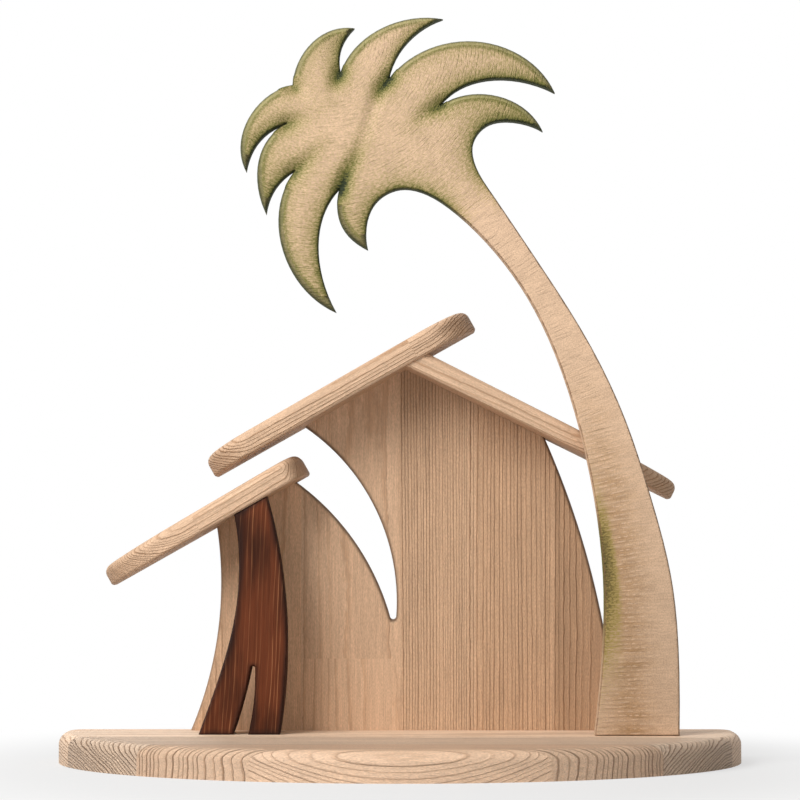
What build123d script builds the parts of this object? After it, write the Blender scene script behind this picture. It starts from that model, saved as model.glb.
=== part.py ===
from build123d import *
import math
import os

# Nativity stable with a palm tree. Millimetres, X to the right, Y to the back, Z up.
# The origin is the middle of the base's underside, in the base's outer box.

# Base: a bowed board glued from lamellas that run left to right
base_width = 417
base_depth = 168
base_thickness = 18
base_side = 20
base_corner_radius = 14
base_roundover = 7
base_strip_width = 16.8
base_rear_width = 50.4
base_front_shares = (0.127, 0.456)

# Rear wall: one board glued from upright staves, low on the left and a gable on the right, with a
# horn-shaped gap sawn in between them from above
wall_thickness = 16
low_foot_offset = 128.8
low_waist_inset = 18.2
low_waist_share = 0.712
low_eave_inset = 15.5
low_peak_offset = 64.2
low_peak_drop = 69.7
ridge_offset = 3.7
ridge_height = 222.5
high_eave_reach = 86
high_foot_offset = 133.7
high_side_bulge = 8.2
gap_tip_radius = 1.9
gap_belly_offset = 2
gap_belly_share = 0.517
gap_tip_inset = 1.6
gap_tip_drop = 20
gap_top_reach = 62.7
gap_lower_bulge = 10.4
gap_neck = 2.4
left_seam_shares = (0.34, 0.97)
right_seam_shares = (0.35, 0.72)

# Roof boards, all flush with the back of the wall and planed thinner towards their lower ends
left_pitch = 29.5
right_pitch = 26.2
roof_depth = 52
roof_blunt_end = 8
roof_roundover = 5
roof_lower_easing = 2
long_roof_thickness = 14.5
long_roof_lower_thickness = 13.2
long_roof_lower_length = 135.8
long_roof_upper_length = 50.4
long_roof_lower_taper = 31
long_roof_upper_taper = 33
short_roof_thickness = 13.6
short_roof_lower_thickness = 10.8
short_roof_length = 182.8
short_roof_depth = 50
short_roof_taper = 83
lean_to_thickness = 14.5
lean_to_lower_thickness = 12.1
lean_to_lower_length = 130.8
lean_to_upper_length = 9.7
lean_to_lower_taper = 61
lean_to_upper_taper = 14
lean_to_upper_blunt_end = 27

# Forked post under the lean-to
post_thickness = 16
post_setback = 1
post_edge_easing = 0.8
post_foot_offset = 121.3
post_foot_width = 48.9
post_top_inset = 20.9
post_top_width = 19.7
post_bulge = 8
post_left_edge_shares = ((0.42, 0.186), (0.96, 0.479), (1.15, 0.776))
fork_height = 41
fork_tip_radius = 1.2
fork_left_bulge = 0.8
fork_right_bulge = 1.3
fork_left_share = 0.424
fork_right_share = 0.611
fork_tip_share = 0.669

# Palm tree, sawn from one board, in front of the short roof board
palm_thickness = 10
palm_height = 434.1
palm_spread = 264.3
palm_end_margin = 41.2
palm_roof_gap = 0.5
palm_foot_width = 50.7
crown_width = 191.3
crown_height = 180.3

# Trunk edges from the foot to the neck, in shares of that edge's lean and rise
trunk_right_shares = (
    (0, 0.14), (0.0375, 0.286), (0.142, 0.432), (0.28, 0.578), (0.481, 0.724), (0.749, 0.871),
)
trunk_left_shares = (
    (-0.052, 0.128), (-0.073, 0.26), (0.031, 0.505), (0.201, 0.676), (0.452, 0.828), (0.767, 0.942),
)

# Crown outline in shares of the crown's box, from its lower left corner. Each row is one edge of a
# leaf and starts where the last one ends, from the right of the neck round to the left of it.
neck_right_shares = (0.793, 0.412)
neck_left_shares = (0.669, 0.353)
leaf_edge_shares = (
    ((0.746, 0.501), (0.739, 0.571), (0.780, 0.634), (0.841, 0.651), (0.961, 0.617)),
    ((0.885, 0.708), (0.758, 0.745), (0.636, 0.707)),
    ((0.708, 0.768), (0.847, 0.794), (1.000, 0.748)),
    ((0.895, 0.874), (0.731, 0.925), (0.559, 0.878), (0.473, 0.798)),
    ((0.500, 0.875), (0.550, 0.941), (0.644, 1.000)),
    ((0.500, 0.991), (0.369, 0.907), (0.318, 0.820)),
    ((0.317, 0.885), (0.362, 0.969)),
    ((0.258, 0.946), (0.201, 0.887), (0.165, 0.775)),
    ((0.058, 0.710), (0.000, 0.571), (0.019, 0.479)),
    ((0.073, 0.598), (0.146, 0.644)),
    ((0.063, 0.539), (0.053, 0.466), (0.083, 0.335)),
    ((0.114, 0.426), (0.172, 0.483)),
    ((0.121, 0.321), (0.174, 0.125), (0.306, 0.004)),
    ((0.250, 0.192), (0.265, 0.335), (0.314, 0.421)),
    ((0.319, 0.303), (0.406, 0.215)),
    ((0.400, 0.268), (0.431, 0.375), (0.513, 0.421), (0.573, 0.412)),
)

# Countersunk wood screws, driven up through the base
screw_diameter = 4
screw_head_diameter = 8
screw_head_angle = 90
screw_length = 40
screw_point_length = 5
screw_sink = 0.4
screw_clearance = 0.1
drive_width = 1.2
drive_length = 4.6
drive_depth = 1.8
leg_screw_shares = (0.29, 0.84)
palm_screw_shares = (0.25, 0.75)

# Glued dowels between the roof boards and what carries them
dowel_diameter = 6
dowel_roof_depth = 8
dowel_foot_depth = 18
dowel_clearance = 0.05
dowel_end_gap = 0.5
dowel_chamfer = 0.8
long_dowel_shares = (0.25, 0.65)
short_dowel_shares = (0.25, 0.75)
lean_to_dowel_shares = (0.35, 0.7)
post_dowel_shares = (0.5,)

# Places along Y, from the back forwards
front_y = -base_depth / 2
back_y = base_depth / 2
widest_y = back_y - base_side
wall_middle_y = back_y - wall_thickness / 2
post_back_y = back_y - roof_depth + post_setback + post_thickness
post_middle_y = post_back_y - post_thickness / 2
palm_back_y = back_y - short_roof_depth - palm_roof_gap
palm_middle_y = palm_back_y - palm_thickness / 2

# Places along X and Z
low_foot_x = -low_foot_offset
low_eave_x = low_foot_x + low_eave_inset
low_peak_x = -low_peak_offset
high_foot_x = high_foot_offset
ridge_x = ridge_offset
ridge_z = base_thickness + ridge_height
low_peak_z = ridge_z - low_peak_drop
gap_top_x = ridge_x - gap_top_reach
gap_belly_x = -gap_belly_offset
gap_belly_z = base_thickness + (low_peak_z - base_thickness) * gap_belly_share
neck_seam_x = gap_belly_x + gap_neck
high_eave_x = ridge_x + high_eave_reach
post_foot_x = -post_foot_offset
post_foot_right_x = post_foot_x + post_foot_width
post_top_x = post_foot_x + post_top_inset
post_top_right_x = post_top_x + post_top_width
palm_foot_right_x = base_width / 2 - palm_end_margin
palm_foot_left_x = palm_foot_right_x - palm_foot_width
crown_x = palm_foot_right_x - palm_spread
crown_z = base_thickness + palm_height - crown_height

# Roof slopes: along each board and square to it
left_angle = math.radians(left_pitch)
right_angle = math.radians(right_pitch)
left_run = (math.cos(left_angle), 0, math.sin(left_angle))
left_up = (-math.sin(left_angle), 0, math.cos(left_angle))
right_run = (math.cos(right_angle), 0, -math.sin(right_angle))
right_up = (math.sin(right_angle), 0, math.cos(right_angle))

# Undersides of the roof boards, with their origin at the back of the wall and local Y to the back
long_plane = Plane(origin=(ridge_x, back_y, ridge_z), x_dir=left_run, z_dir=left_up)
short_plane = Plane(origin=(ridge_x, back_y, ridge_z), x_dir=right_run, z_dir=right_up)
lean_to_plane = Plane(origin=(low_peak_x, back_y, low_peak_z), x_dir=left_run, z_dir=left_up)


def under(plane, x):
    """Height of a roof board's underside above a place along X."""
    return plane.origin.Z + (x - plane.origin.X) * plane.x_dir.Z / plane.x_dir.X


def on_roof(plane, x):
    """Point of an outline in X and Z that lies on a roof board's underside."""
    return (x, under(plane, x))


def between(start, end, share):
    """Place at a share of the way from start to end."""
    return start + (end - start) * share


def places(first, last, shares):
    """Places at these shares of the way from first to last."""
    return [between(first, last, share) for share in shares]


def facing_front(y):
    """Plane for an outline in X and Z, which grows towards the front from this place along Y."""
    return Plane(origin=(0, y, 0), x_dir=(1, 0, 0), z_dir=(0, -1, 0))


def dowel_seats(plane, first_x, last_x, shares, y):
    """Planes on a roof board's underside, facing up into the board, one for each dowel."""
    xs = places(first_x, last_x, shares)
    return [Plane(origin=(x, y, under(plane, x)), z_dir=plane.z_dir) for x in xs]


def screw_seats(xs, y, z):
    """Planes facing down at height z, one for each screw."""
    return [Plane(origin=(x, y, z), z_dir=(0, 0, -1)) for x in xs]


def drill_for_screws(row):
    """Blind holes for a row of screws, up from the base's top into the piece being made."""
    with Locations(*screw_seats(*row, base_thickness)):
        Hole(screw_hole_radius, depth=screw_sink + screw_length + screw_clearance - base_thickness)


def drill_for_dowels(seats, depth, side):
    """Blind dowel holes under the seats with a side of 1, or above them with a side of -1."""
    with Locations(*[Plane(origin=seat.origin, z_dir=seat.z_dir * side) for seat in seats]):
        Hole(dowel_diameter / 2 + dowel_clearance, depth=depth)


def lamella(board, first_seam, last_seam):
    """The piece of a glued board between two seams, or up to its rim where there is no seam."""
    with BuildPart() as piece:
        add(board.part)
        if first_seam:
            split(bisect_by=first_seam, keep=Keep.TOP)
        if last_seam:
            split(bisect_by=last_seam, keep=Keep.BOTTOM)
    return piece.part


def save(piece, label):
    piece.label = label
    export_step(piece, f"parts/{label}.step")


def save_lamellas(board, labels, seams):
    for label, first_seam, last_seam in zip(labels, [None] + seams, seams + [None]):
        save(lamella(board, first_seam, last_seam), label)


os.makedirs("parts", exist_ok=True)

long_seats = dowel_seats(long_plane, gap_top_x, ridge_x, long_dowel_shares, wall_middle_y)
short_seats = dowel_seats(short_plane, ridge_x, high_eave_x, short_dowel_shares, wall_middle_y)
lean_to_seats = dowel_seats(lean_to_plane, low_eave_x, low_peak_x, lean_to_dowel_shares, wall_middle_y)
post_seats = dowel_seats(lean_to_plane, post_top_x, post_top_right_x, post_dowel_shares, post_middle_y)

left_seam_xs = places(low_foot_x, gap_top_x, left_seam_shares)
right_seam_xs = places(neck_seam_x, high_foot_x, right_seam_shares)
wall_seam_xs = [*left_seam_xs, neck_seam_x, *right_seam_xs]
stave_edge_xs = [low_foot_x, *wall_seam_xs, high_foot_x]

screw_hole_radius = screw_diameter / 2 + screw_clearance
head_spread = math.tan(math.radians(screw_head_angle / 2))
wall_row = ([between(*edges, 1 / 2) for edges in zip(stave_edge_xs, stave_edge_xs[1:])], wall_middle_y)
leg_row = (places(post_foot_x, post_foot_right_x, leg_screw_shares), post_middle_y)
palm_row = (places(palm_foot_left_x, palm_foot_right_x, palm_screw_shares), palm_middle_y)

# Base board: bowed front, straight back, rounded upper rim except along the back
with BuildPart() as base_board:
    with BuildSketch() as base_outline:
        with BuildLine():
            base_half = base_width / 2
            bow = EllipticalCenterArc(
                (0, widest_y), base_half, widest_y - front_y, start_angle=180, arc_size=180,
            )
            Polyline(bow @ 1, (base_half, back_y), (-base_half, back_y), bow @ 0)
        make_face()
        fillet(base_outline.vertices().group_by(Axis.Y)[-1], base_corner_radius)
    extrude(amount=base_thickness)
    base_rim = base_board.faces().sort_by(Axis.Z)[-1].edges()
    fillet(base_rim.filter_by_position(Axis.Y, front_y, back_y, inclusive=(True, False)), base_roundover)
    for row in (wall_row, leg_row, palm_row):
        with Locations(*screw_seats(*row, 0)):
            CounterSinkHole(
                radius=screw_hole_radius,
                counter_sink_radius=screw_head_diameter / 2 + screw_sink * head_spread + screw_clearance,
                counter_sink_angle=screw_head_angle,
            )
base_labels = (
    "base_nose_stave", "base_front_stave", "base_middle_stave", "base_rear_stave", "base_back_strip",
)
strip_seam_y = back_y - base_strip_width
rear_seam_y = strip_seam_y - base_rear_width
base_seam_ys = [*places(front_y, rear_seam_y, base_front_shares), rear_seam_y, strip_seam_y]
base_seams = [Plane(origin=(0, y, 0), z_dir=(0, 1, 0)) for y in base_seam_ys]
save_lamellas(base_board, base_labels, base_seams)

# Rear wall: waisted left edge, a slope under each roof board, bowed right edge, blunt gap tip
with BuildPart() as wall:
    with BuildSketch(facing_front(back_y)) as wall_outline:
        with BuildLine():
            low_foot = (low_foot_x, base_thickness)
            low_eave = on_roof(lean_to_plane, low_eave_x)
            low_waist_z = between(base_thickness, low_eave[1], low_waist_share)
            low_waist = (low_foot_x + low_waist_inset, low_waist_z)
            low_peak = (low_peak_x, low_peak_z)
            gap_tip = (gap_belly_x - gap_tip_inset, gap_belly_z - gap_tip_drop)
            gap_belly = (gap_belly_x, gap_belly_z)
            gap_top = on_roof(long_plane, gap_top_x)
            ridge = (ridge_x, ridge_z)
            high_eave = on_roof(short_plane, high_eave_x)
            high_foot = (high_foot_x, base_thickness)
            ThreePointArc(low_foot, low_waist, low_eave)
            Line(low_eave, low_peak)
            SagittaArc(low_peak, gap_tip, gap_lower_bulge)
            TangentArc(gap_belly, gap_tip, tangent=(0, -1))
            TangentArc(gap_belly, gap_top, tangent=(0, 1))
            Polyline(gap_top, ridge, high_eave)
            SagittaArc(high_eave, high_foot, high_side_bulge)
            Line(high_foot, low_foot)
        make_face()
        fillet(wall_outline.vertices().sort_by_distance((*gap_tip, 0))[0], gap_tip_radius)
    extrude(amount=wall_thickness)
    drill_for_screws(wall_row)
    for seats in (lean_to_seats, long_seats, short_seats):
        drill_for_dowels(seats, dowel_foot_depth, 1)
wall_labels = (
    "wall_left_edge_stave", "wall_left_stave", "wall_gap_stave",
    "wall_middle_stave", "wall_right_stave", "wall_right_edge_stave",
)
wall_seams = [Plane(origin=(x, 0, 0), z_dir=(1, 0, 0)) for x in wall_seam_xs]
save_lamellas(wall, wall_labels, wall_seams)


def roof_board(plane, ends, depth, tapers, blunt_ends, thicknesses):
    """Roof board on its underside: straight back, elliptic tapers from its blunt ends, a top planed from
    one end's thickness to the other's, and rounded edges except along its back."""
    first, last = ends
    first_taper, last_taper = tapers
    first_blunt, last_blunt = blunt_ends
    first_top, last_top = thicknesses
    first_front, last_front = first + first_taper, last - last_taper
    with BuildPart() as board:
        with BuildSketch(plane):
            with BuildLine():
                Polyline((first, -first_blunt), (first, 0), (last, 0), (last, -last_blunt))
                EllipticalCenterArc(
                    (last_front, -last_blunt), last_taper, depth - last_blunt,
                    start_angle=0, arc_size=-90,
                )
                Line((last_front, -depth), (first_front, -depth))
                EllipticalCenterArc(
                    (first_front, -first_blunt), first_taper, depth - first_blunt,
                    start_angle=270, arc_size=-90,
                )
            make_face()
        extrude(amount=max(thicknesses))
        with BuildSketch(Plane(origin=plane.origin, x_dir=plane.x_dir, z_dir=(0, -1, 0))):
            with BuildLine():
                Polyline((first, 0), (last, 0), (last, last_top), (first, first_top), close=True)
            make_face()
        extrude(amount=depth, mode=Mode.INTERSECT)
        for side, radius in ((-1, roof_roundover), (0, roof_lower_easing)):
            rim = board.faces().sort_by(Axis(plane.origin, plane.z_dir))[side].edges()
            fillet(rim.filter_by_position(Axis.Y, front_y, back_y, inclusive=(True, False)), radius)
    return board.part


with BuildPart() as long_roof:
    add(roof_board(
        long_plane, (-long_roof_lower_length, long_roof_upper_length), roof_depth,
        (long_roof_lower_taper, long_roof_upper_taper), (roof_blunt_end, roof_blunt_end),
        (long_roof_lower_thickness, long_roof_thickness),
    ))
    drill_for_dowels(long_seats, dowel_roof_depth, -1)
save(long_roof.part, "long_roof_board")

with BuildPart() as lean_to:
    add(roof_board(
        lean_to_plane, (-lean_to_lower_length, lean_to_upper_length), roof_depth,
        (lean_to_lower_taper, lean_to_upper_taper), (roof_blunt_end, lean_to_upper_blunt_end),
        (lean_to_lower_thickness, lean_to_thickness),
    ))
    drill_for_dowels(lean_to_seats + post_seats, dowel_roof_depth, -1)
save(lean_to.part, "lean_to_board")

# Short roof board: its upper end is mitred against the underside of the long one
with BuildPart() as short_roof:
    add(roof_board(
        short_plane, (-short_roof_depth, short_roof_length), short_roof_depth,
        (short_roof_depth / 2, short_roof_taper), (roof_blunt_end, roof_blunt_end),
        (short_roof_thickness, short_roof_lower_thickness),
    ))
    split(bisect_by=long_plane, keep=Keep.BOTTOM)
    drill_for_dowels(short_seats, dowel_roof_depth, -1)
save(short_roof.part, "short_roof_board")

# Forked post: its top follows the lean-to's underside
with BuildPart() as post:
    with BuildSketch(facing_front(post_back_y)):
        with BuildLine():
            post_foot = (post_foot_x, base_thickness)
            post_top = on_roof(lean_to_plane, post_top_x)
            post_top_right = on_roof(lean_to_plane, post_top_right_x)
            post_foot_right = (post_foot_right_x, base_thickness)
            post_left_edge = [
                (between(post_foot[0], post_top[0], lean), between(post_foot[1], post_top[1], rise))
                for lean, rise in post_left_edge_shares
            ]
            fork_left = (between(post_foot_x, post_foot_right_x, fork_left_share), base_thickness)
            fork_right = (between(post_foot_x, post_foot_right_x, fork_right_share), base_thickness)
            fork_tip_x = between(post_foot_x, post_foot_right_x, fork_tip_share)
            fork_tip_z = base_thickness + fork_height
            fork_tip_left = (fork_tip_x - fork_tip_radius, fork_tip_z - fork_tip_radius)
            fork_tip_right = (fork_tip_x + fork_tip_radius, fork_tip_z - fork_tip_radius)
            Spline(post_foot, *post_left_edge, post_top)
            Line(post_top, post_top_right)
            SagittaArc(post_top_right, post_foot_right, post_bulge)
            Line(post_foot_right, fork_right)
            SagittaArc(fork_right, fork_tip_right, -fork_right_bulge)
            ThreePointArc(fork_tip_right, (fork_tip_x, fork_tip_z), fork_tip_left)
            SagittaArc(fork_tip_left, fork_left, fork_left_bulge)
            Line(fork_left, post_foot)
        make_face()
    extrude(amount=post_thickness)
    front_curves = post.faces().sort_by(Axis.Y)[0].edges().filter_by(GeomType.LINE, reverse=True)
    across = front_curves.sort_by(Axis.X)
    fillet([across[0], across[-1]], post_edge_easing)
    drill_for_screws(leg_row)
    drill_for_dowels(post_seats, dowel_foot_depth, 1)
save(post.part, "forked_post")


def crown_point(shares):
    return (crown_x + crown_width * shares[0], crown_z + crown_height * shares[1])


def trunk_edge(foot_x, neck, edge_shares):
    """Points of one trunk edge between its foot and the neck."""
    neck_x, neck_z = neck
    return [
        (between(foot_x, neck_x, lean), between(base_thickness, neck_z, rise))
        for lean, rise in edge_shares
    ]


# Palm tree: leaning trunk and a crown of eight pointed leaves in one outline
with BuildPart() as palm:
    with BuildSketch(facing_front(palm_back_y)):
        with BuildLine():
            leaf_edges = [[crown_point(shares) for shares in row] for row in leaf_edge_shares]
            neck_right = crown_point(neck_right_shares)
            neck_left = crown_point(neck_left_shares)
            palm_foot_right = (palm_foot_right_x, base_thickness)
            palm_foot_left = (palm_foot_left_x, base_thickness)
            trunk_right = trunk_edge(palm_foot_right_x, neck_right, trunk_right_shares)
            trunk_left = trunk_edge(palm_foot_left_x, neck_left, trunk_left_shares)
            Spline(palm_foot_right, *trunk_right, neck_right, *leaf_edges[0])
            for edge, next_edge in zip(leaf_edges, leaf_edges[1:-1]):
                Spline(edge[-1], *next_edge)
            Spline(leaf_edges[-2][-1], *leaf_edges[-1], neck_left, *reversed(trunk_left), palm_foot_left)
            Line(palm_foot_left, palm_foot_right)
        make_face()
    extrude(amount=palm_thickness)
    drill_for_screws(palm_row)
save(palm.part, "palm_tree")

# Wood screw, head down, with a cross recess
with BuildPart() as screw:
    with BuildSketch(Plane.XZ):
        with BuildLine():
            head_radius = screw_head_diameter / 2
            shank_radius = screw_diameter / 2
            head_height = (head_radius - shank_radius) / head_spread
            screw_tip_z = screw_sink + screw_length
            Polyline(
                (0, screw_sink),
                (head_radius, screw_sink),
                (shank_radius, screw_sink + head_height),
                (shank_radius, screw_tip_z - screw_point_length),
                (0, screw_tip_z),
                close=True,
            )
        make_face()
    revolve(axis=Axis.Z)
    with BuildSketch(Plane.XY.offset(screw_sink)):
        Rectangle(drive_length, drive_width)
        Rectangle(drive_width, drive_length)
    extrude(amount=drive_depth, mode=Mode.SUBTRACT)

screw_rows = {"wall_screws": wall_row, "post_screws": leg_row, "palm_screws": palm_row}
for label, row in screw_rows.items():
    with BuildPart() as group:
        with Locations(*[seat.origin for seat in screw_seats(*row, 0)]):
            add(screw.part)
    save(group.part, label)

# Dowel, upright across its seat
with BuildPart() as dowel:
    with BuildSketch(Plane.XY.offset(dowel_end_gap - dowel_foot_depth)):
        Circle(dowel_diameter / 2)
    extrude(amount=dowel_foot_depth + dowel_roof_depth - 2 * dowel_end_gap)
    chamfer(dowel.edges().filter_by(GeomType.CIRCLE), dowel_chamfer)

dowel_groups = {
    "long_roof_dowels": long_seats,
    "short_roof_dowels": short_seats,
    "lean_to_dowels": lean_to_seats,
    "post_dowel": post_seats,
}
for label, seats in dowel_groups.items():
    with BuildPart() as group:
        with Locations(*seats):
            add(dowel.part)
    save(group.part, label)
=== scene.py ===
import math
from typing import NamedTuple

import bpy
import numpy as np
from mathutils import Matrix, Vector
from mathutils.geometry import delaunay_2d_cdt


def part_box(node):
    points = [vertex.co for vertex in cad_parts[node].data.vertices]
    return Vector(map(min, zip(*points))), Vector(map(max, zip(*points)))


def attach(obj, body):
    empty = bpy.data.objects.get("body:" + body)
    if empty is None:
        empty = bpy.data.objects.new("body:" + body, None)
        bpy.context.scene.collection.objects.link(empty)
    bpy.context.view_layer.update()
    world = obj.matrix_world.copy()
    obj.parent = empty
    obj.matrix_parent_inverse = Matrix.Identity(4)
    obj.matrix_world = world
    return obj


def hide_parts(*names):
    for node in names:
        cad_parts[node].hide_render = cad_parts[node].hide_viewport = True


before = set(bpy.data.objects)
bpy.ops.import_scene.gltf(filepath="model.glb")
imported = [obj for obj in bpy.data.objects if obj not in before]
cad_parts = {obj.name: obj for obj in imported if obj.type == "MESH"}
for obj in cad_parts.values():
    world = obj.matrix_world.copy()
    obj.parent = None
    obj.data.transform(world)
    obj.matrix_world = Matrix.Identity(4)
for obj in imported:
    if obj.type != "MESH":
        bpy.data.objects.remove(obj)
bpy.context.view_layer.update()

bl_info = {
    "name": "Wooden Nativity Stable",
    "version": (1, 0, 0),
    "blender": (4, 5, 0),
    "location": "View3D > Sidebar > Stable",
    "description": "Dresses a nativity stable in brushed softwood, with a stained post and a carved palm",
    "category": "Object",
}

MM = 0.001

# Pitches of the roof boards, directions of the grain, and points on the roof boards' undersides (mm)
LEFT_PITCH = math.radians(29.5)
RIGHT_PITCH = math.radians(26.2)
ACROSS = Vector((1, 0, 0))
UPRIGHT = Vector((0, 0, 1))
LEFT_RUN = Vector((math.cos(LEFT_PITCH), 0, math.sin(LEFT_PITCH)))
RIGHT_RUN = Vector((math.cos(RIGHT_PITCH), 0, -math.sin(RIGHT_PITCH)))
RIDGE = Vector((3.7, 0, 240.5))
LOW_PEAK = Vector((-64.2, 0, 170.8))


def beside(foot, run, depth, rise):
    """Point at a depth along Y and a rise square to a sloped board's underside, in millimetres."""
    up = Vector((-run.z, 0, run.x))
    return foot + up * rise + Vector((0, depth, 0))


# Place along the grain beyond the end of every board, for one that has no joint (mm)
NO_JOINT = 9000


class Board(NamedTuple):
    """How one board was sawn: direction of the grain, a point on the heart of its log (mm), width of a
    growth ring (mm), darkness of the late wood, wander of the rings (mm), tone, height of the brushed
    rings (mm), and the place along the grain where a second length is joined on (mm), with the side
    of that place on which it lies; the sheen of its wax, how warm its wood is, and how ragged its ring
    lines are (shares of a ring)."""
    run: Vector
    heart: Vector
    ring: float
    darkness: float
    wander: float
    tone: float
    relief: float = 0.3
    joint: float = NO_JOINT
    second: str = "GREATER_THAN"
    sheen: float = 0.2
    warmth: float = 0
    ragged: float = 0.38


BASE_SHEEN = 0.9


def base_board(heart, *figures, **finish):
    """Lamella of the base: its grain runs left to right, and its wax shines more than on other boards."""
    return Board(ACROSS, Vector(heart), *figures, sheen=BASE_SHEEN, **finish)


def wall_board(heart, *figures, **finish):
    """Stave of the wall: its grain is upright."""
    return Board(UPRIGHT, Vector(heart), *figures, **finish)


BOARDS = {
    "base_nose_stave": base_board((0, 11, -50), 1.6, 0.38, 0.4, 1.06, 0.8, ragged=0.16),
    "base_front_stave": base_board((0, 60, 4), 1.8, 0.72, 0.5, 1.06, 1.8, ragged=0.2),
    # The middle and rear lamellas, most of the base's top, are paler and cooler by their higher tone and
    # negative warmth: painted reflection of the white surroundings on the top seen at a grazing angle
    "base_middle_stave": base_board((0, 21, -43), 1.75, 0.8, 1.2, 1.17, 2.2, warmth=-0.2),
    "base_rear_stave": base_board((0, 40, -70), 1.8, 0.7, 1.2, 1.2, 0.6, warmth=-0.2),
    "base_back_strip": base_board((0, 150, 30), 2.2, 0.6, 1.2, 1.15),
    "wall_left_edge_stave": wall_board((-60, 130, 0), 2.6, 0.4, 1.5, 0.92, warmth=0.12),
    "wall_left_stave": wall_board((-84, 170, 0), 2.4, 0.4, 1.5, 0.93, warmth=0.12),
    "wall_gap_stave": wall_board((-20, 150, 0), 2.6, 0.4, 1.2, 0.86, 0.3, 62, "LESS_THAN", warmth=0.06),
    "wall_middle_stave": wall_board((-150, 84, 0), 1.8, 0.5, 0.9, 0.84, 0.9, warmth=0.1),
    "wall_right_stave": wall_board((128, 92, 0), 2.4, 0.42, 1.1, 0.82, 0.6, warmth=0.14),
    # The right edge stave's low tone is painted shade: the wall darkens towards its right edge behind the
    # palm
    "wall_right_edge_stave": wall_board((128, 92, 0), 2.4, 0.32, 1.1, 0.66, 0.5, warmth=0.18),
    "long_roof_board": Board(LEFT_RUN, beside(RIDGE, LEFT_RUN, 70, -34), 1.7, 0.8, 1.0, 0.94, 0.6, 130),
    "short_roof_board": Board(RIGHT_RUN, beside(RIDGE, RIGHT_RUN, 90, -30), 2.0, 0.75, 1.4, 0.94, 0.4),
    "lean_to_board": Board(LEFT_RUN, beside(LOW_PEAK, LEFT_RUN, 130, -40), 0.95, 0.52, 1.0, 0.95, 0.5, -36,
                           "LESS_THAN"),
}
SAWN_STAVES = (
    "wall_left_edge_stave", "wall_left_stave", "wall_gap_stave", "wall_right_stave",
    "wall_right_edge_stave",
)
SCREWS = ("wall_screws", "post_screws", "palm_screws")
DOWELS = ("long_roof_dowels", "short_roof_dowels", "lean_to_dowels", "post_dowel")

# Middle lines of the palm's leaves and trunk, and the carved valleys between the leaves, as points in
# X and Z (mm); a valley starts at the crown's rim
LEAF_RIBS = (
    ((18.1, 377.5), (33.2, 388.2), (48.3, 395.8), (66.4, 395.0), (86.8, 382.8)),
    ((-6.0, 388.2), (7.6, 406.4), (24.2, 418.6), (46.9, 424.7), (69.5, 421.7), (93.9, 406.1)),
    ((-25.7, 398.8), (-18.1, 417.1), (-6.0, 435.4), (24.2, 449.2)),
    ((-46.8, 403.4), (-48.4, 421.7), (-40.8, 435.4), (-28.0, 444.6)),
    ((-51.3, 395.8), (-69.5, 396.7), (-86.0, 383.6), (-93.5, 357.2)),
    ((-51.3, 376.0), (-67.9, 369.9), (-79.1, 354.7), (-80.6, 331.2)),
    ((-43.7, 363.9), (-55.8, 345.6), (-61.0, 321.4), (-56.4, 295.7), (-37.9, 272.4)),
    ((-12.1, 363.9), (-24.1, 348.7), (-29.5, 329.0), (-19.3, 310.1)),
)
TRUNK_RIB = (
    (28.3, 356.6), (51.8, 330.5), (78.2, 291.2), (97.3, 248.9), (115.1, 206.8), (127.5, 158.9),
    (135.6, 105.2), (138.5, 36.8), (139, 18),
)
VALLEYS = (
    ((26.0, 399.1), (16.9, 394.3), (6.0, 385.0)),
    ((-6.0, 415.0), (-12.1, 407.7), (-17.5, 394.0), (-22.0, 378.0)),
    ((-36.3, 418.6), (-39.3, 411.3), (-41.7, 400.0)),
    ((-64.6, 409.5), (-58.6, 405.2), (-50.7, 402.2)),
    ((-69.4, 385.7), (-60.4, 390.0), (-50.7, 393.0)),
    ((-65.1, 356.0), (-57.3, 363.9), (-45.9, 376.0)),
    ((-36.2, 345.6), (-32.6, 356.6), (-27.0, 366.9), (-22.0, 378.0)),
)
# Green added to each leaf towards its tip
LEAF_GREENS = (0.16, 0, -0.14, 0, 0.05, 0.08, 0, 0)
# For each valley: depth left at its inner end, strength of the green at its rim, and the share of its
# length that the green reaches
VALLEY_ENDS = (0, 0.4, 0, 0, 0, 0, 0.4)
VALLEY_GREENS = (0.85, 1.0, 1.0, 0.6, 0.65, 0.72, 1.1)
VALLEY_REACHES = (1.1, 0.55, 0.85, 0.35, 1.0, 1.2, 1.2)


class StableTimber(bpy.types.PropertyGroup):
    early_colour: bpy.props.FloatVectorProperty(
        name="Early wood", description="Pale wood between the rings", subtype="COLOR", size=3,
        min=0, max=1, default=(0.70, 0.475, 0.315))
    late_colour: bpy.props.FloatVectorProperty(
        name="Late wood", description="Dark line of each growth ring", subtype="COLOR", size=3,
        min=0, max=1, default=(0.36, 0.180, 0.082))
    end_colour: bpy.props.FloatVectorProperty(
        name="End grain", description="Tint of wood cut across the grain", subtype="COLOR", size=3,
        min=0, max=1, default=(0.80, 0.77, 0.74))
    roughness: bpy.props.FloatProperty(
        name="Roughness", description="Roughness of the waxed wood", subtype="FACTOR", min=0, max=1,
        default=0.62)
    easing: bpy.props.FloatProperty(
        name="Wall easing", description="Radius of the wall's sawn front edges", unit="LENGTH",
        subtype="DISTANCE", min=0, default=2.2 * MM)


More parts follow.
